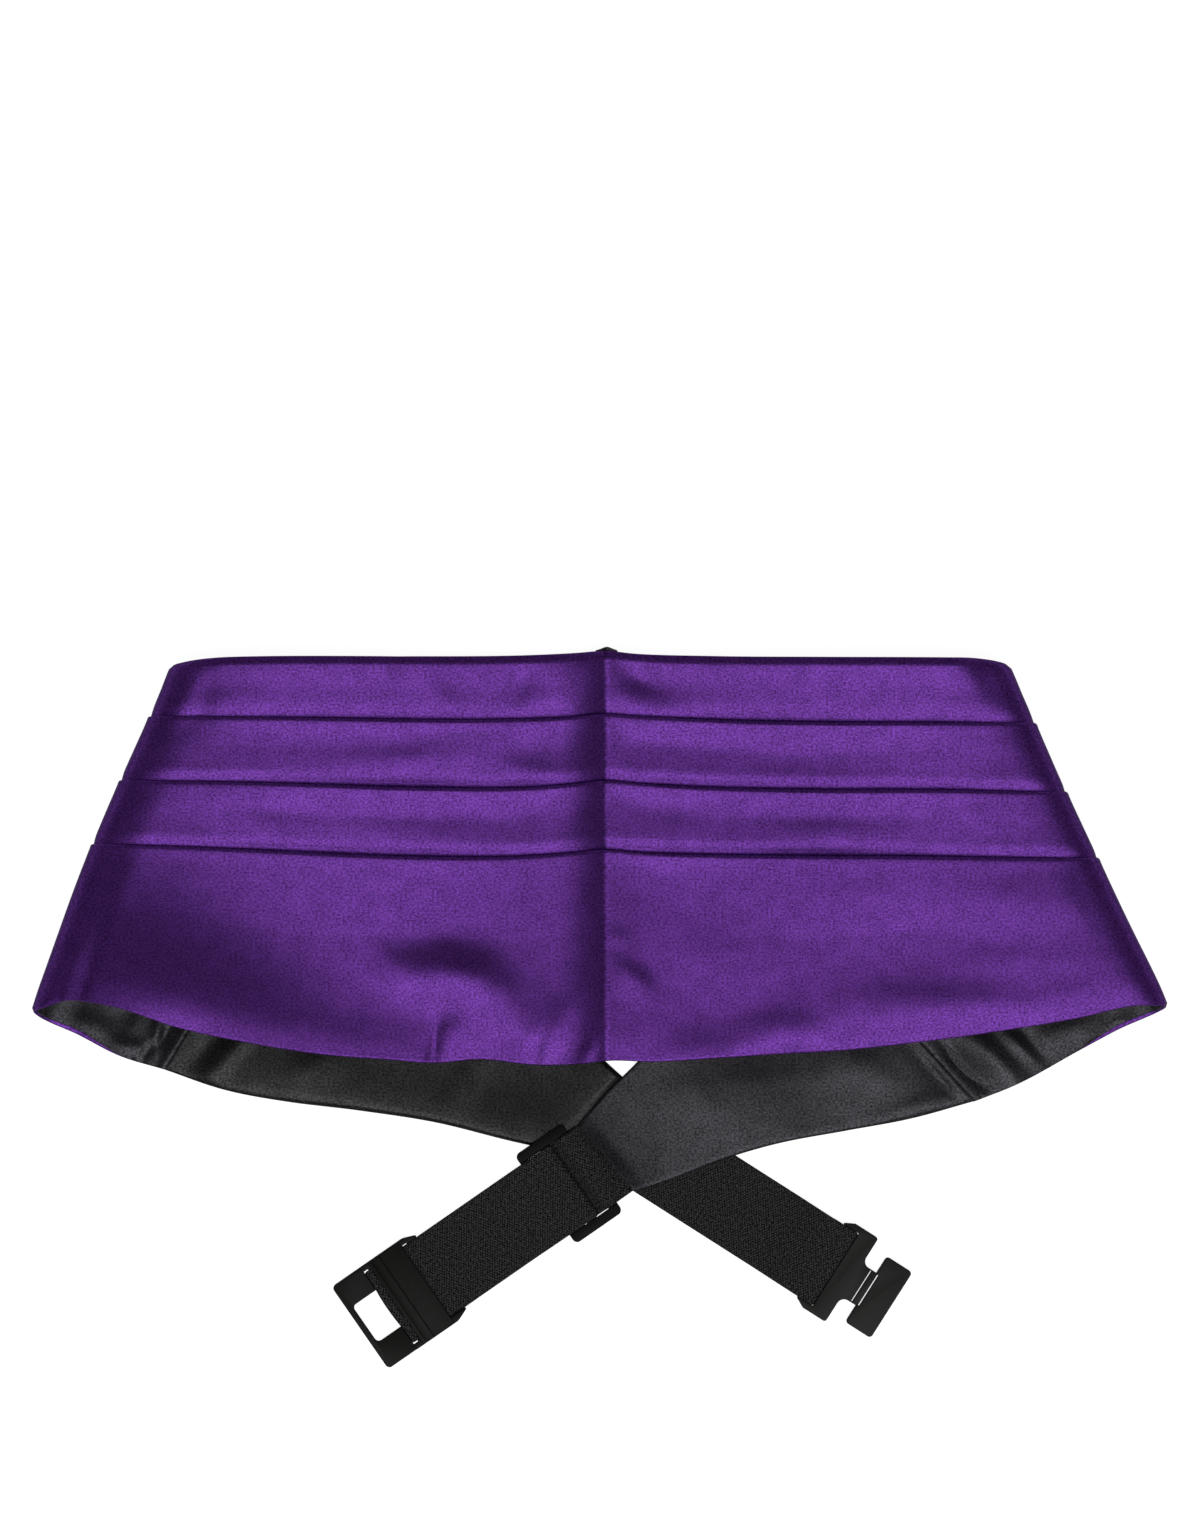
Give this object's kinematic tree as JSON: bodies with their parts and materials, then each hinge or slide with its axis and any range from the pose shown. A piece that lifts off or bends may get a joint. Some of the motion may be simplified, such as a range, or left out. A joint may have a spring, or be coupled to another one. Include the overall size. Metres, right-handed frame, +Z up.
{
  "type": "cummerbund",
  "caption": "Pleated satin cummerbund laid flat with its sides folded under, its tails crossed, and elastic straps that end in a hook and an eye buckle.",
  "frame": {"origin": "centre of the outline's box on the surface that the cummerbund lies on", "axes": "+X to the right along the waist, +Y from the front's lower edge to its upper edge, +Z up from the surface"},
  "size_m": [0.4006, 0.2528, 0.0173],
  "materials": {
    "satin_purple": "satin weave with a soft sheen",
    "satin_black": "black lining satin",
    "elastic_black": "woven elastic, matte",
    "plastic_black": "moulded, matte"
  },
  "bodies": {
    "root": {"shell": "satin_purple", "lining": "satin_black", "tail_left": "satin_black", "tail_right": "satin_black", "strap_hook": "elastic_black", "strap_slider": "elastic_black", "slider": "plastic_black", "buckle_eye": "plastic_black", "hook": "plastic_black"}
  },
  "joints": []
}
